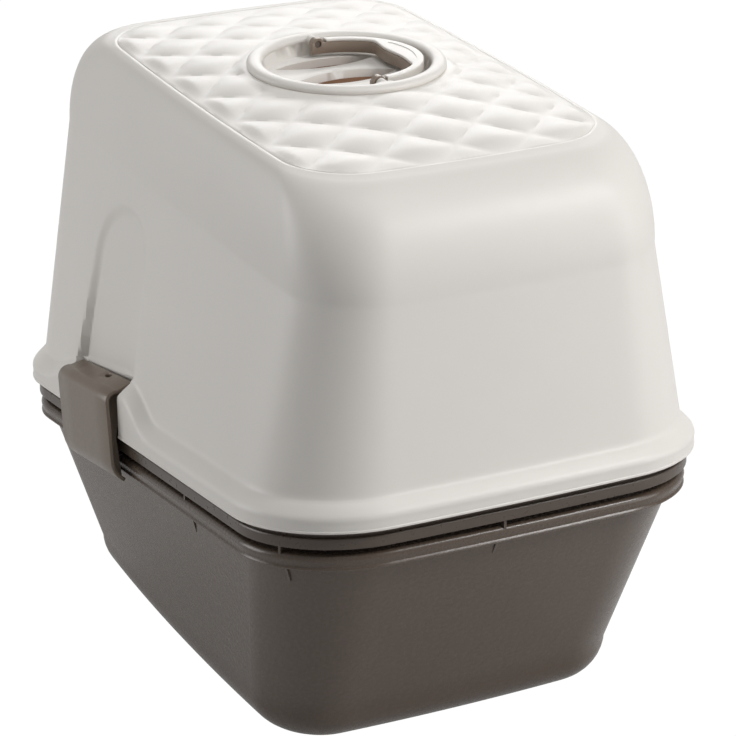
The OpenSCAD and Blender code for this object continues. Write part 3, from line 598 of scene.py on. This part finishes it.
def trayWall(off, t, floorZ=None):
    # t runs from the top of the fillet, 0, to the rim, 1; floorZ gives a level ring instead
    lo, hi, foot = trayLow(off), trayHigh(off), tray["fillet"]
    high = edgeZ(hi[:, 1]) - tray["lowUnder"] - foot
    k = np.full(len(lo), t) if floorZ is None else (floorZ - foot) / high
    return withZ(mix(lo, hi, k[:, None]), foot + k * high)


def trayTop(off, up):
    return notched(trayHigh(off), tray["notch"] - tray["notchIn"] - off * 0.6, up)


def rimRing(size, up, inset, pulled):
    return notched(outline(*(s - inset for s in size), 0, bow["wall"]), tray["notch"] - pulled, up)


def footRings(inset, r, z, angles):
    # the rounded foot of a wall
    return [withZ(trayLow(inset + r * (1 - math.sin(a))), z + r * (1 - math.cos(a))) for a in np.radians(angles)]


def capped(name, rings):
    return clean(meshFrom(name, np.concatenate(rings), closedFaces(len(rings), nRing)), 0.00015, 28)


def buildOuterTray():
    t, f, w = tray, tray["fillet"], tray["wall"]
    top, under = -t["lowTop"], -t["lowUnder"]
    rings = footRings(0, f, 0, np.linspace(0, 90, 12))
    rings += [trayWall(0, k) for k in np.linspace(0.08, 0.97, 13)]
    rings += [trayTop(0, under + 1), trayTop(0, top - 3.4)]
    # the rolled rim: hollow skirt, flared lower edge, rounded top
    roll = [(3.4, top - 2.7), (2.6, top - 3.6), (2.4, under + 0.8), (2.1, under + 0.1), (1.2, under - 0.3),
            (0.5, under - 0.3), (0.1, under + 0.1), (0.05, under + 0.8), (0.45, under + 1.5), (1.1, under + 2.3),
            (1.05, under + 3.4), (0.5, under + 5.2), (0.1, top - 5), (0, top - 4.2), (0.3, top - 2.9),
            (1.0, top - 1.6), (2.0, top - 0.65), (3.1, top - 0.1), (3.6, top)]
    rings += [rimRing((t["x"], t["y"], t["r"]), z, i, 0.4 * i) for i, z in roll]
    rings += [trayTop(w - 1.1, top), trayTop(w - 0.3, top - 0.5), trayTop(w, top - 1.4), trayTop(w, under)]
    rings += [trayWall(w, k) for k in np.linspace(0.94, 0.0, 9)]
    return capped("outerTray", rings + footRings(w, f - w, w, np.linspace(80, 0, 8)))


def buildSieveTray():
    t, f, w, off = tray, tray["sieveFillet"], tray["wall"], tray["wallOff"]
    face, top, under, out = -t["seat"], -t["upTop"], -t["upUnder"], t["lipInset"]
    neck, inner = out + 3.2, off - t["lip"]
    rings = [trayWall(off + f * (1 - math.sin(a)), 0, t["sieveZ"] + f * (1 - math.cos(a)))
             for a in np.radians(np.linspace(0, 90, 8))]
    rings += [trayWall(off, k) for k in np.linspace(0.5, 0.97, 7)]
    rings += [trayTop(off, face - t["flange"])]
    # stepped rim: seat under the hood, recessed neck, rounded shoulder, upright lip
    steps = [(neck + 2.4, face - t["flange"]), (neck + 2.4, top - 1.9), (neck + 0.8, top - 2.3), (neck, top - 2.9),
             (neck, under + 0.5), (neck - 0.4, under), (out + 0.6, under), (out + 0.12, under + 0.35),
             (out, under + 1), (out + 0.15, under + 2.4), (out + 0.1, top - 1.6), (out + 0.3, top - 0.7),
             (out + 0.75, top - 0.15), (out + 1.3, top), (neck - 0.4, top), (neck, top + 0.4), (neck, face - 2.6),
             (neck - 0.5, face - 2.2), (3.3, face - 1.3), (3, face - 1), (3, face - 0.3), (3.3, face)]
    size = (hood["rimX"], hood["rimY"], hood["rimR"])
    rings += [rimRing(size, z, i, 0.4 * max(0, i - out)) for i, z in steps]
    rings += [trayTop(inner, face), trayTop(inner, 6.2), trayTop(inner + 0.8, 7), trayTop(off, 7),
              trayTop(off + w, face - 2)]
    rings += [trayWall(off + w, k) for k in np.linspace(0.94, 0.5, 6)]
    rings += [trayWall(off + w + (f - 1) * (1 - math.sin(a)), 0, t["sieveZ"] + w + f * (1 - math.cos(a)) * 0.95)
              for a in np.radians(np.linspace(90, 0, 7))]
    return capped("sieveTray", rings)


slots = {"Columns": 17, "Rows": 9, "Pitch X": 15 * mm, "Pitch Y": 35 * mm, "Slot Width": 9 * mm,
         "Slot Length": 26 * mm, "Height": (tray["sieveZ"] + tray["wall"] / 2) * mm, "Depth": (tray["wall"] + 4) * mm}


def buildSlotPunch():
    # punches a grid of slots through whatever it is given
    tree, gi, go = geoTree("slotPunch", slots)
    v = gi.outputs
    span = lambda count, pitch: mathNode(tree, "MULTIPLY", mathNode(tree, "SUBTRACT", count, 1.0), pitch)
    grid = wire(tree, "GeometryNodeMeshGrid", {
        "Size X": span(v["Columns"], v["Pitch X"]), "Size Y": span(v["Rows"], v["Pitch Y"]),
        "Vertices X": v["Columns"], "Vertices Y": v["Rows"]})
    lift = wire(tree, "ShaderNodeCombineXYZ", {2: v["Height"]})
    raised = wire(tree, "GeometryNodeSetPosition", {"Geometry": grid.outputs[0], "Offset": lift.outputs[0]})
    size = wire(tree, "ShaderNodeCombineXYZ", {0: v["Slot Width"], 1: v["Slot Length"], 2: v["Depth"]})
    punch = wire(tree, "GeometryNodeMeshCube", {"Size": size.outputs[0]})
    many = wire(tree, "GeometryNodeInstanceOnPoints", {"Points": raised.outputs[0], "Instance": punch.outputs[0]})
    solid = wire(tree, "GeometryNodeRealizeInstances", {"Geometry": many.outputs[0]})
    holed = wire(tree, "GeometryNodeMeshBoolean", {0: v["Geometry"], 1: solid.outputs[0]}, operation="DIFFERENCE")
    closeTree(tree, holed.outputs[0], gi, go)
    return tree


rib = dict(inset=8.6, turn=31, sideY=88, frontY=-158.5, endX=8, width=2, sideReach=0.49, cornerReach=0.75)


def ribPlaces():
    # the ribs that carry the upper tray stand at the sides, the corners and the ends: x, y, direction, reach to
    # the wall as a share of that at the ends
    h, r = hood, hood["rimR"] - rib["inset"]
    a, b, turn = h["rimX"] - rib["inset"], h["rimY"] - rib["inset"], math.radians(rib["turn"])
    cornerX, cornerY = h["rimX"] - h["rimR"] + r * math.cos(turn), h["rimY"] - h["rimR"] + r * math.sin(turn)
    cornerY *= 1 - bow["wall"] * (cornerX / a) ** 2
    out = []
    for s in (1, -1):
        out += [(s * a, y, 0 if s > 0 else math.pi, rib["sideReach"]) for y in (rib["sideY"], rib["frontY"])]
        out += [(s * cornerX, e * cornerY, math.atan2(e * math.sin(turn), s * math.cos(turn)), rib["cornerReach"])
                for e in (1, -1)]
        out.append((rib["endX"], s * b, s * math.pi / 2, 1))
    return out


def buildRibSetter():
    # sets one blade at each point of a mesh, turned by the point's own direction and stretched by its reach
    tree, gi, go = geoTree("ribSetter", {"Blade": None})
    v = gi.outputs
    blade = wire(tree, "GeometryNodeObjectInfo", {"Object": v["Blade"], "As Instance": True},
                 transform_space="ORIGINAL")
    turn, reach = (wire(tree, "GeometryNodeInputNamedAttribute", {"Name": k}, data_type="FLOAT").outputs[0]
                   for k in ("direction", "reach"))
    spin = wire(tree, "ShaderNodeCombineXYZ", {2: turn})
    stretch = wire(tree, "ShaderNodeCombineXYZ", {0: reach, 1: 1.0, 2: 1.0})
    many = wire(tree, "GeometryNodeInstanceOnPoints", {
        "Points": v["Geometry"], "Instance": blade.outputs["Geometry"], "Rotation": spin.outputs[0],
        "Scale": stretch.outputs[0]})
    closeTree(tree, many.outputs[0], gi, go)
    return tree


def buildRibs(trayShell):
    t, setter, made, places = tray, buildRibSetter(), [], ribPlaces()
    high, deep = t["rimGap"] - t["seat"], t["rollH"]
    # the two blades, outwards and upwards from the rib's place
    post = [(-1.2, -2), (1.2, -2), (1.2, high - 0.25), (0.95, high), (-0.95, high), (-1.2, high - 0.25)]
    gusset = [(-0.7, -2), (-0.7, -deep), (-6.5, -deep - 0.5), (-15.3, -deep - 17), (-15.8, -deep - 14.5),
              (-9.6, -deep), (-8.6, -2)]
    for name, shape in (("ribPost", post), ("ribGusset", gusset)):
        v = [(x, s * rib["width"] / 2, z) for s in (-1, 1) for x, z in shape]
        blade = clean(meshFrom(name, v, closedFaces(2, len(shape))))
        points = bpy.data.meshes.new(name + "Places")
        points.from_pydata([(x * mm, y * mm, (edgeZ(y) - t["lowTop"]) * mm) for x, y, *_ in places], [], [])
        way, reach = (points.attributes.new(k, "FLOAT", "POINT") for k in ("direction", "reach"))
        for i, place in enumerate(places):
            way.data[i].value, reach.data[i].value = place[2], place[3] if shape is gusset else 1
        made.append(runTree(placed(name + "s", points), setter, trayPlastic, Blade=blade))
        bpy.data.objects.remove(blade)
    return join("outerTray", [trayShell] + made)


outerTray = buildRibs(buildOuterTray())
sieveTray = runTree(buildSieveTray(), buildSlotPunch(), sievePlastic, **slots)
print("trays", len(outerTray.data.polygons), len(sieveTray.data.polygons))


def bevelHard(b, width, segments, angle):
    # rounds the edges where the surface turns by more than the angle
    hard = [e for e in b.edges if e.calc_face_angle(0) > math.radians(angle)]
    bmesh.ops.bevel(b, geom=hard, offset=width * mm, offset_type="OFFSET", segments=segments, profile=0.5,
                    affect="EDGES", clamp_overlap=True)


def soften(o, width, segments, angle):
    b = bmesh.new()
    b.from_mesh(o.data)
    bevelHard(b, width, segments, angle)
    b.to_mesh(o.data)
    b.free()


def clipPoint(side, x, y, z):
    r = math.radians(clip["rake"])
    return (side * (clip["axisX"] + x), clip["y"] + y * math.cos(r) - z * math.sin(r),
            edgeZ(clip["y"]) + clip["axisUp"] + y * math.sin(r) + z * math.cos(r))


def clipCurve(off, seg=10):
    # the clip's outer face in section: a rounded brow at the top, and a toe that curls in
    c = clip
    x, r1, r2 = c["out"] - off, c["brow"] - off, c["toe"] - off
    brow = [(x - r1 + r1 * math.sin(a), c["roof"] - off - r1 + r1 * math.cos(a))
            for a in np.radians(np.linspace(-14, 90, seg))]
    toe = [(x - r2 + r2 * math.cos(a), c["roof"] - c["height"] + c["toeUp"] - r2 * math.sin(a))
           for a in np.radians(np.linspace(0, c["curl"], seg))]
    return brow + toe


def buildClip(side):
    c, b, endY = clip, clip["back"], clip["width"] / 2
    bits = []

    def body(y):
        # the roof slopes up to the wall, more at the rear end of the clip
        lift = mix(*c["lift"], (y + endY) / c["width"])
        return [(b, c["roof"] + lift)] + clipCurve(0) + clipCurve(c["skin"])[::-1] + [(b, c["roof"] - c["skin"])]

    def web(y):
        inner = [(c["out"] - 9, -34), (5, -14), (1, -4.4), (-2.5, -4)]
        return [(b, c["roof"] - 1)] + [(x - 1, z) for x, z in clipCurve(1)] + inner

    def knuckle(y):
        eye = [(c["eyeR"] * math.cos(a), c["eyeR"] * math.sin(a)) for a in np.radians(np.linspace(-200, 20, 20))]
        return eye + [(4.4, c["roof"] - 0.6), (b + 0.3, c["roof"] - 0.6)]

    def slab(shape, y0, y1, name, steps=1):
        v = [clipPoint(side, x, y, z) for y in np.linspace(y0, y1, steps + 1) for x, z in shape(y)]
        bits.append(clean(meshFrom(name, v, closedFaces(steps + 1, len(shape(0)))), angle=30))

    slab(body, -endY, c["nearEnd"], "clipSkin", 4)
    for s in (-1, 1):
        slab(web, s * (endY - c["webIn"] - c["webT"]), s * (endY - c["webIn"]), "clipWeb")
    for y in (-endY + 5, -endY / 3, endY / 3, endY - 5):
        slab(knuckle, y - c["eyeW"] / 2, y + c["eyeW"] / 2, "clipKnuckle")
    # a small hole through the roof, near its inner edge, its points mirrored with the clip
    around = [(gate["halfX"] * x, gate["halfY"] * side * y) for x, y in circle(1, gate["steps"])]
    v = [clipPoint(side, gate["x"] + x, gate["y"] + y, z) for z in (-1, 13) for x, y in around]
    cut(bits[0], clean(meshFrom("gateCutter", v, closedFaces(2, gate["steps"]))))
    soften(bits[0], 0.7, 2, 50)
    return clean(join("sideClip" + ("Right" if side > 0 else "Left"), bits), angle=38)


clipRight, clipLeft = buildClip(1), buildClip(-1)
print("clips")


def softened(node, name, width, angle=32):
    # the solid's own form, merged, with its edges rounded off
    b = bmesh.new()
    b.from_mesh(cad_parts[node].data)
    bmesh.ops.remove_doubles(b, verts=b.verts, dist=0.00002)
    bmesh.ops.dissolve_limit(b, angle_limit=math.radians(0.4), verts=b.verts, edges=b.edges)
    bevelHard(b, width, 2, angle)
    bmesh.ops.triangulate(b, faces=[f for f in b.faces if len(f.verts) > 4])
    m = bpy.data.meshes.new(name)
    b.to_mesh(m)
    b.free()
    shade(m, angle)
    return placed(name, m)


def plate(name, shape, z0, z1, soft, segments=2):
    # a flat plate of any outline with rounded edges
    o = meshFrom(name, [(x, y, z) for z in (z0, z1) for x, y in shape], closedFaces(2, len(shape)))
    if soft:
        soften(o, soft, segments, 40)
    return clean(o, angle=34)


def rod(name, r, y0, y1, z, steps=28):
    v = [(x, y, z + up) for y in (y0, y1) for x, up in circle(r, steps)]
    return clean(meshFrom(name, v, closedFaces(2, steps)))


def oval(length, width, y=0.0, x=0.0, along=0, seg=24):
    # pointed oval from two arcs
    r = (length ** 2 + width ** 2) / (4 * width)
    a = math.asin(length / 2 / r)
    upper = [(r * math.sin(t), width / 2 - r + r * math.cos(t)) for t in np.linspace(a, -a, seg)[:-1]]
    pts = upper + [(-u, -v) for u, v in upper]
    return [(x + u, y + v) if along == 0 else (x - v, y + u) for u, v in pts]


well = dict(pivotZ=454.04, floorZ=443.04, filterZ=422.84, filterTop=430.74, filterR=62.2, foamTop=437.4,
            slotL=82, slotW=28, slotPitch=37, sideSlot=0.72)
grip = dict(outer=55, inner=48.6, x=-36.5, corner=9, end=5.2, wave=1.4, bottom=446.3, top=455.0, capTop=457.2,
            reach=1.045, pinR=2.5, eyeR=4.7, capEnd=-6.4, skirt=1.9)


def gripPlan(outer, inset, end, seg=40):
    # half round handle, seen from above: slim arms and a broad grip with a gently waved inner edge
    g = grip
    ro, ri, x0, rc = outer, g["inner"] + inset, g["x"] - inset, g["corner"]
    a = math.acos(end / ro)
    pts = [(ro * math.cos(t), ro * math.sin(t)) for t in np.linspace(a, 2 * math.pi - a, 2 * seg)]
    cx = x0 + rc
    cy = math.sqrt((ri - rc) ** 2 - cx ** 2)
    ai, ac = math.acos(end / ri), math.pi - math.atan2(cy, -cx)
    lower = [(ri * math.cos(t), -ri * math.sin(t)) for t in np.linspace(ai, ac, seg)]
    lower += [(cx + rc * math.cos(t), -cy - rc * math.sin(t)) for t in np.linspace(ac, math.pi, 10)[1:]]
    bar = [(x0 - g["wave"] * math.sin(math.pi * y / cy) * (1 - (y / cy) ** 2) ** 0.5, y)
           for y in np.linspace(-cy, cy, 22)[1:-1]]
    return [(x * g["reach"] if x < 0 else x, y) for x, y in pts + lower + bar + [(x, -y) for x, y in lower[::-1]]]


def reshapeWell(o):
    # a lower, wider bead, a well wall that leans out, longer slots and slimmer bosses than the plain solid has
    bossIn, bossOut, slim = 55.5, 64, 0.68
    beadZ, beadLow, beadIn, beadOut, wallR = 452.04, 0.66, 62.4, 63.1, 60.6
    for v in o.data.vertices:
        x, y, z = v.co.x / mm, v.co.y / mm, v.co.z / mm
        r = math.hypot(x, y)
        if abs(x) < 6 and bossIn < abs(y) < bossOut and abs(z - well["pivotZ"]) < 6:
            v.co.x, v.co.z = x * slim * mm, (well["pivotZ"] + (z - well["pivotZ"]) * slim) * mm
            continue
        target = r
        if z > beadZ + 0.16 and r > beadIn - 1:
            target = beadOut + (r - beadIn) * 1.13
            v.co.z = (beadZ + (z - beadZ) * beadLow) * mm
        elif z > well["floorZ"] - 0.2 and beadIn - 1 < r < 63.2:
            target = wallR
        elif z < well["floorZ"] + 0.1 and r < 60 and z > 428:
            v.co.x = x * (1 + 0.206 * (1 - min(1, max(0, abs(x) - 34) / 24))) * mm
        if target != r:
            v.co.x, v.co.y = x * target / r * mm, y * target / r * mm
    return clean(o, angle=40)


def buildHandle():
    g, z = grip, well["pivotZ"]
    body = plate("carryHandle", gripPlan(g["outer"] - 2, 0, g["end"]), g["bottom"], g["top"], 0.7)
    for e in [rod("eye", g["eyeR"], s * 49, s * 54.6, z) for s in (1, -1)]:
        cut(body, e, "UNION")
    cut(body, rod("bore", g["pinR"] + 0.25, -60, 60, z))
    # the cap lies on the grip, with a skirt down its outer side and a bare recessed field on top
    cap = plate("handleCap", gripPlan(g["outer"], 0.35, g["capEnd"]), g["top"] + 0.02, g["capTop"], 0.8, 3)
    skirt = []
    for r, way in ((g["outer"], 1), (g["outer"] - g["skirt"], -1)):
        a = math.acos(g["capEnd"] / r)
        skirt += [(r * math.cos(t), r * math.sin(t)) for t in np.linspace(a, 2 * math.pi - a, 80)[::way]]
    skirt = [(x * g["reach"], y) for x, y in skirt]
    cut(cap, plate("skirt", skirt, g["bottom"] + 0.6, g["capTop"] - 0.8, 0), "UNION")
    cut(cap, plate("field", oval(47, 11.5, x=-46, along=1), g["capTop"] - 0.45, g["capTop"] + 1, 0))
    return clean(body, angle=36), clean(cap, angle=36)


def buildFilter():
    # foam disc that swells a little into the three slots
    w = well
    disc = plate("ventFilter", circle(w["filterR"], 72), w["filterZ"], w["filterTop"], 0.8)
    pads = []
    for k, share in ((-1, w["sideSlot"]), (0, 1), (1, w["sideSlot"])):
        shape = oval(w["slotL"] - 3, w["slotW"] * share - 1, y=k * w["slotPitch"])
        pads.append(plate("foamPad", shape, w["filterTop"] - 1, w["foamTop"], 1.2))
    return join("ventFilter", [disc] + pads)


handleWell = reshapeWell(softened("handle_well", "handleWell", 0.5))
carryHandle, handleCap = buildHandle()
ventFilter = buildFilter()
handlePins = join("handlePins", [rod("pin", grip["pinR"], s * 49.8, s * 66.8, well["pivotZ"]) for s in (1, -1)])
entranceFlap = softened("entrance_flap", "entranceFlap", 0.5)
print("roof well and handle", *(len(o.data.polygons) for o in (handleWell, carryHandle, handleCap)))


def wear(o, mat):
    o.data.materials.clear()
    o.data.materials.append(mat)


for piece, mat, body, node in (
        (hoodShell, ivoryPlastic, "hood", "hood_shell"), (outerTray, trayPlastic, "base", "outer_tray"),
        (sieveTray, sievePlastic, "sieve", "sieve_tray"), (clipRight, taupePlastic, "clip_right", "side_clip_right"),
        (clipLeft, taupePlastic, "clip_left", "side_clip_left"), (handleWell, ivoryPlastic, "hood", "handle_well"),
        (carryHandle, gripTaupePaintedLighter, "handle", "carry_handle"), (handleCap, ivoryPlastic, "handle", "handle_cap"),
        (handlePins, rodPlastic, "hood", "handle_pins"), (ventFilter, filterFoam, "hood", "vent_filter"),
        (entranceFlap, flapPlastic, "flap", "entrance_flap")):
    wear(piece, mat)
    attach(piece, body)
    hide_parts(node)
for node, mat in dict(filter_cover=ivoryPlastic, clip_pin_right=rodPlastic, clip_pin_left=rodPlastic).items():
    wear(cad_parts[node], mat)
print("pieces ride on their bodies")


stage = dict(floorTone=0.66, floorGlow=0.985, shine=0.28, fill=0.19, glow=1.03, halfFloor=6000, floorZ=-0.3, aimZ=0.22)
lamps = dict(keyRight=dict(toward=(-0.70, 0.69, 0.15), distance=2.6, size=1.4, power=17),
             sideLeft=dict(toward=(0.84, -0.55, 0.12), distance=2.6, size=1.4, power=21),
             rimLight=dict(toward=(-0.48, 0.62, 0.62), distance=2.6, size=0.6, power=22),
             backLow=dict(toward=(-0.40, -0.80, 0.45), distance=2.5, size=1.4, power=21),
             topLight=dict(toward=(0.0, 0.2, 1), distance=2.4, size=1.6, power=15))
white = (1, 1, 1, 1)


def seenBy(t):
    # the camera sees the white backdrop in full, gloss sees it dimmer, as a studio's floor
    path = wire(t, "ShaderNodeLightPath").outputs
    shine = mathNode(t, "MULTIPLY", path["Is Glossy Ray"], stage["shine"])
    return mathNode(t, "MAXIMUM", mathNode(t, "MAXIMUM", path["Is Camera Ray"], shine), path["Is Transmission Ray"])


def mixed(t, share, lit, seen, output):
    # the lit shader, and the seen one by its share
    mixer = wire(t, "ShaderNodeMixShader", {0: share, 1: lit.outputs[0], 2: seen.outputs[0]})
    wire(t, output, {"Surface": mixer.outputs[0]})


def buildStage():
    m = bpy.data.materials.new("paleFloor")
    m.use_nodes = True
    t = m.node_tree
    t.nodes.clear()
    lit = wire(t, "ShaderNodeBsdfDiffuse", {"Color": (*[stage["floorTone"]] * 3, 1)})
    glow = wire(t, "ShaderNodeEmission", {"Color": white, "Strength": stage["glow"]})
    mixed(t, mathNode(t, "MULTIPLY", seenBy(t), stage["floorGlow"]), lit, glow, "ShaderNodeOutputMaterial")
    s = stage["halfFloor"]
    o = meshFrom("floor", [(x, y, stage["floorZ"]) for x, y in ((-s, -s), (s, -s), (s, s), (-s, s))], [(0, 1, 2, 3)])
    wear(o, m)


def buildWorld():
    w = bpy.data.worlds.new("studio")
    sc.world = w
    w.use_nodes = True
    t = w.node_tree
    t.nodes.clear()
    fill, backdrop = (wire(t, "ShaderNodeBackground", {"Color": white, "Strength": k}) for k in (stage["fill"], 1.0))
    mixed(t, seenBy(t), fill, backdrop, "ShaderNodeOutputWorld")


def softbox(name, toward, distance, size, power):
    d = Vector(toward).normalized()
    light = bpy.data.lights.new(name, "AREA")
    light.shape, light.size, light.energy = "SQUARE", size, power
    o = placed(name, light)
    at = Vector((0, 0, stage["aimZ"])) + d * distance
    o.matrix_world = Matrix.Translation(at) @ d.to_track_quat("Z", "Y").to_matrix().to_4x4()
    o.visible_camera = False


buildStage()
buildWorld()
for lampName, lamp in lamps.items():
    softbox(lampName, **lamp)
sc.view_settings.view_transform = "Standard"
print("light")
